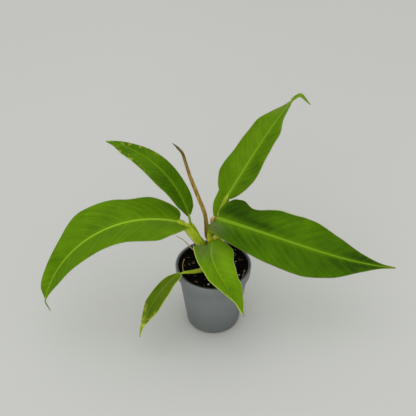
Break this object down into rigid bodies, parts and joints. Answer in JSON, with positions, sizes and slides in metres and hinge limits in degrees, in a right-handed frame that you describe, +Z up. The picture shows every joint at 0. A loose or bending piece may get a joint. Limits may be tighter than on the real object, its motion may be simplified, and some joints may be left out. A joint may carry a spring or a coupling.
{
  "type": "potted philodendron",
  "caption": "Young philodendron with long pointed leaves and a rolled new leaf, growing in a tapered round nursery pot with a skirted rim and drain holes.",
  "frame": {"origin": "middle of the pot's flat base, on the surface that it stands on", "axes": "+Z up along the pot's axis; +X towards the large right-hand leaf; -Y towards the front, where the front leaf hangs over the rim"},
  "size_m": [0.5427, 0.218, 0.354],
  "materials": {
    "pot": "satin grey moulded plastic",
    "soil": "damp dark potting mix",
    "stem": "smooth dark green stem",
    "leaf": "semi-gloss green leaf",
    "leaf_mottled": "green leaf, mottled yellow",
    "stalk": "smooth pale green stalk",
    "new_leaf": "olive brown rolled leaf",
    "sheath": "pale yellow sheath",
    "dry_sheath": "dry brown papery sheath",
    "root": "tan root",
    "bark": "rough bark",
    "perlite": "matte white grain"
  },
  "bodies": {
    "root": {"nursery_pot": "pot", "potting_soil": "soil", "stem": "stem", "leaf_right": "leaf", "leaf_left": "leaf", "leaf_upper_left": "leaf", "leaf_upper_right": "leaf", "leaf_front": "leaf", "leaf_front_left": "leaf_mottled", "leaf_back": "leaf", "petiole_right": "stalk", "petiole_left": "stalk", "petiole_upper_left": "stalk", "petiole_upper_right": "stalk", "petiole_front": "stalk", "petiole_front_left": "stalk", "petiole_back": "stalk", "new_leaf": "new_leaf", "sheath_left": "sheath", "sheath_right": "sheath", "sheath_dry": "dry_sheath", "aerial_root": "root", "surface_root_left": "root", "surface_root_right": "root", "root_1": "root", "root_2": "root", "root_3": "root", "root_4": "root", "root_5": "root", "root_6": "root", "bark_chip_1": "bark", "bark_chip_2": "bark", "bark_chip_3": "bark", "perlite_1": "perlite", "perlite_2": "perlite", "perlite_3": "perlite"}
  },
  "joints": []
}
